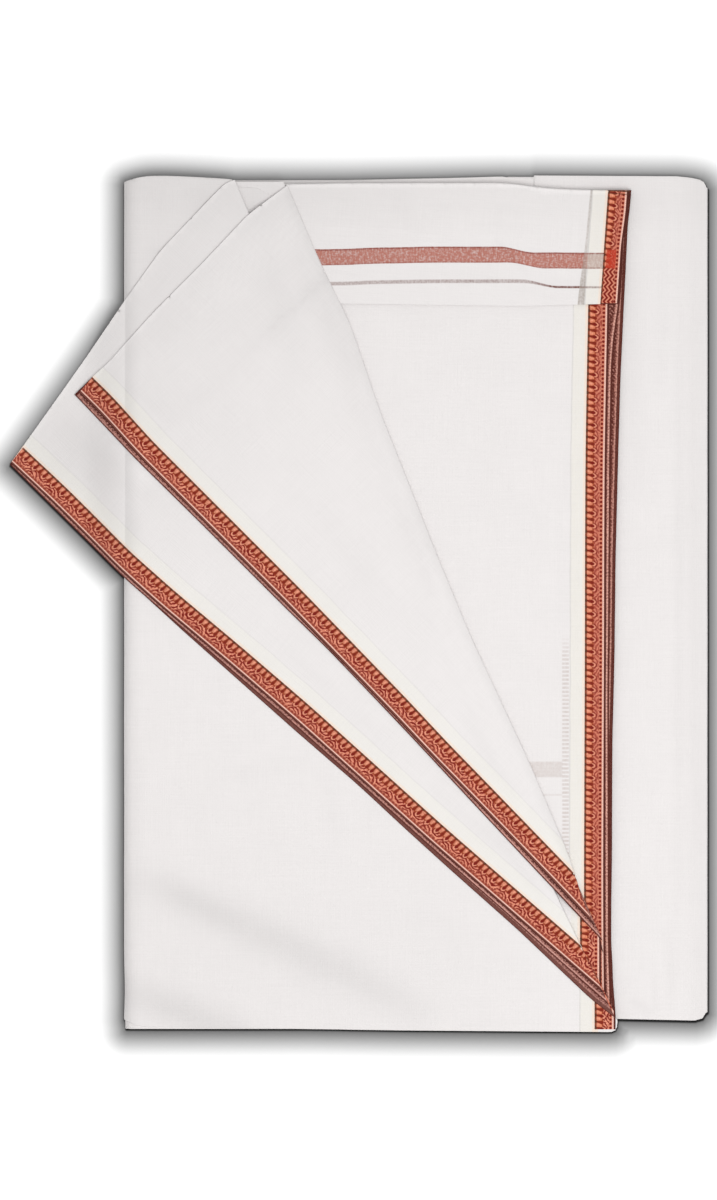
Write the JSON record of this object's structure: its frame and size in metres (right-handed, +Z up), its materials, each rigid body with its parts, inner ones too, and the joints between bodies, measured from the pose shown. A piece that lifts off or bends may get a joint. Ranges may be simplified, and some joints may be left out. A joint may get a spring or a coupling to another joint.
{
  "type": "folded dhoti cloth",
  "caption": "Folded white cotton dhoti lying flat, with woven rust borders along its selvedges, a striped end turned over its top and slanting flaps turned back over its left side.",
  "frame": {"origin": "centre of the folded cloth's bounding box, on the surface it lies on", "axes": "+Z up out of the surface, +Y along the pack's long side towards the turned-over end, +X towards the folded right side, with the flaps turned back over the left (-X)"},
  "size_m": [0.4155, 0.5088, 0.0144],
  "materials": {
    "cotton_ground": "matt plain-weave white cotton",
    "end_stripes": "matt plain-weave white cotton with a wide and a thin dusty red weft stripe",
    "woven_border": "matt jacquard weave in rust, salmon and dark red",
    "under_border": "matt jacquard weave seen as a dark edge"
  },
  "bodies": {
    "root": {"lower_fold": "cotton_ground", "upper_fold": "cotton_ground", "upper_fold_border": "under_border", "end_panel": "cotton_ground", "end_panel_border": "woven_border", "end_panel_under_border": "under_border", "end_turnover": "end_stripes", "end_turnover_border": "woven_border", "middle_panel": "cotton_ground", "middle_panel_border": "woven_border", "front_panel": "cotton_ground", "front_panel_border": "woven_border", "wide_flap": "cotton_ground", "wide_flap_border": "woven_border", "wide_flap_under_border": "under_border", "narrow_flap": "cotton_ground", "narrow_flap_border": "woven_border", "narrow_flap_under_border": "under_border"}
  },
  "joints": []
}
